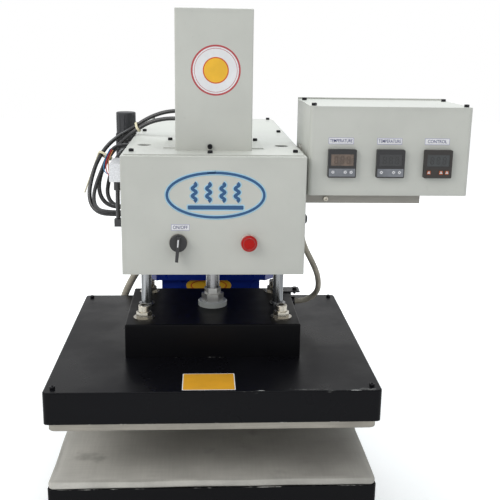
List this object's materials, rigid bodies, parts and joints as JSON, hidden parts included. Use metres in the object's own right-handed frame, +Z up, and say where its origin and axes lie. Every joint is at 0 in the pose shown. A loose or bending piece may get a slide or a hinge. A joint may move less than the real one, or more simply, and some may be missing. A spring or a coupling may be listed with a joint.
{
  "type": "pneumatic fusing press",
  "caption": "Bench pneumatic fusing press: padded bed, heated platen on guide rods under a sheet head with air cylinder tower, control box with panel meters, column and welded base.",
  "frame": {"origin": "centre of the base's four bolt-down holes, on the floor", "axes": "+X to the machine's right as the operator sees it, +Y to the rear, +Z up"},
  "size_m": [0.7155, 0.831, 0.9368],
  "materials": {
    "housing_paint": "satin off-white powder coat",
    "platen_paint": "charcoal satin paint",
    "riser_paint": "near-black satin paint",
    "column_paint": "deep blue paint",
    "base_paint": "black paint",
    "platen_metal": "machined, warm grey",
    "pad_cloth": "heat-proof cloth, grey",
    "board": "fibre board",
    "chrome": "polished",
    "fastener": "nickel plated",
    "bush": "turned",
    "black_screw": "black oxide",
    "cylinder_metal": "anodised",
    "black_plastic": "black",
    "meter_plastic": "dark grey",
    "key_plastic": "white",
    "red_plastic": "red",
    "bowl_clear": "clear polycarbonate",
    "hose": "black polyurethane",
    "wire": "coloured insulation",
    "conduit": "grey-beige sleeve",
    "tie": "cream nylon"
  },
  "bodies": {
    "machine": {"air_fittings": "black_plastic", "air_hoses": "hose", "base_frame": "base_paint", "bed_bolts": "fastener", "bed_insulation": "board", "bed_pad": "pad_cloth", "bed_pillars": "platen_metal", "bed_plate": "platen_metal", "bed_tray": "riser_paint", "cable_glands": "black_plastic", "cable_ties": "tie", "coil_cable": "hose", "column": "column_paint", "control_box": "housing_paint", "control_box_back": "housing_paint", "control_box_bracket": "housing_paint", "control_box_lid": "housing_paint", "cover_screws": "black_screw", "cylinder_caps": "cylinder_metal", "cylinder_tube": "cylinder_metal", "frame_bolts": "fastener", "guide_bushes": "bush", "head_housing": "housing_paint", "head_lid": "housing_paint", "heater_conduit": "conduit", "meter_left": "meter_plastic", "meter_middle": "meter_plastic", "meter_right": "meter_plastic", "push_button_switch": "black_plastic", "rear_conduit": "conduit", "regulator_body": "black_plastic", "regulator_bowl": "bowl_clear", "selector_switch": "black_plastic", "solenoid_valve": "cylinder_metal", "tower_cover": "housing_paint", "upper_frame": "column_paint", "valve_coil": "black_plastic", "valve_wires": "wire"},
    "platen": {"platen_cover": "platen_paint", "platen_insulation": "board", "heat_platen": "platen_metal", "platen_screws": "black_screw", "riser_box": "riser_paint", "riser_bolts": "fastener", "guide_rods": "chrome", "piston_foot": "fastener", "piston_rod": "chrome", "terminal_bracket": "fastener"},
    "selector": {"selector_knob": "black_plastic"},
    "button": {"push_button": "red_plastic"},
    "regulator": {"regulator_knob": "black_plastic"},
    "left_key_1": {"meter_left_key_1": "key_plastic"},
    "left_key_2": {"meter_left_key_2": "key_plastic"},
    "left_key_3": {"meter_left_key_3": "key_plastic"},
    "middle_key_1": {"meter_middle_key_1": "key_plastic"},
    "middle_key_2": {"meter_middle_key_2": "key_plastic"},
    "middle_key_3": {"meter_middle_key_3": "key_plastic"},
    "right_key_1": {"meter_right_key_1": "key_plastic"},
    "right_key_2": {"meter_right_key_2": "key_plastic"},
    "right_key_3": {"meter_right_key_3": "key_plastic"}
  },
  "joints": [
    {"name": "press_stroke", "type": "slide", "parent": "machine", "child": "platen", "axis": [0, 0, -1], "range_m": [0, 0.095], "deforming": ["heater_conduit"]},
    {"name": "selector_turn", "type": "hinge", "parent": "machine", "child": "selector", "pos_m": [-0.06, -0.266, 0.5515], "axis": [0, 1, 0], "range_deg": [0, 90]},
    {"name": "button_push", "type": "slide", "parent": "machine", "child": "button", "axis": [0, 1, 0], "range_m": [0, 0.004], "stiffness_N_per_m": 900, "springref_m": -0.002},
    {"name": "regulator_turn", "type": "hinge", "parent": "machine", "child": "regulator", "pos_m": [-0.178, 0.1, 0.72], "axis": [0, 0, 1], "range_deg": [-720, 720]},
    {"name": "left_key_1_push", "type": "slide", "parent": "machine", "child": "left_key_1", "axis": [0, 1, 0], "range_m": [0, 0.0005], "stiffness_N_per_m": 1500, "springref_m": -0.0003},
    {"name": "left_key_2_push", "type": "slide", "parent": "machine", "child": "left_key_2", "axis": [0, 1, 0], "range_m": [0, 0.0005], "stiffness_N_per_m": 1500, "springref_m": -0.0003},
    {"name": "left_key_3_push", "type": "slide", "parent": "machine", "child": "left_key_3", "axis": [0, 1, 0], "range_m": [0, 0.0005], "stiffness_N_per_m": 1500, "springref_m": -0.0003},
    {"name": "middle_key_1_push", "type": "slide", "parent": "machine", "child": "middle_key_1", "axis": [0, 1, 0], "range_m": [0, 0.0005], "stiffness_N_per_m": 1500, "springref_m": -0.0003},
    {"name": "middle_key_2_push", "type": "slide", "parent": "machine", "child": "middle_key_2", "axis": [0, 1, 0], "range_m": [0, 0.0005], "stiffness_N_per_m": 1500, "springref_m": -0.0003},
    {"name": "middle_key_3_push", "type": "slide", "parent": "machine", "child": "middle_key_3", "axis": [0, 1, 0], "range_m": [0, 0.0005], "stiffness_N_per_m": 1500, "springref_m": -0.0003},
    {"name": "right_key_1_push", "type": "slide", "parent": "machine", "child": "right_key_1", "axis": [0, 1, 0], "range_m": [0, 0.0005], "stiffness_N_per_m": 1500, "springref_m": -0.0003},
    {"name": "right_key_2_push", "type": "slide", "parent": "machine", "child": "right_key_2", "axis": [0, 1, 0], "range_m": [0, 0.0005], "stiffness_N_per_m": 1500, "springref_m": -0.0003},
    {"name": "right_key_3_push", "type": "slide", "parent": "machine", "child": "right_key_3", "axis": [0, 1, 0], "range_m": [0, 0.0005], "stiffness_N_per_m": 1500, "springref_m": -0.0003}
  ]
}
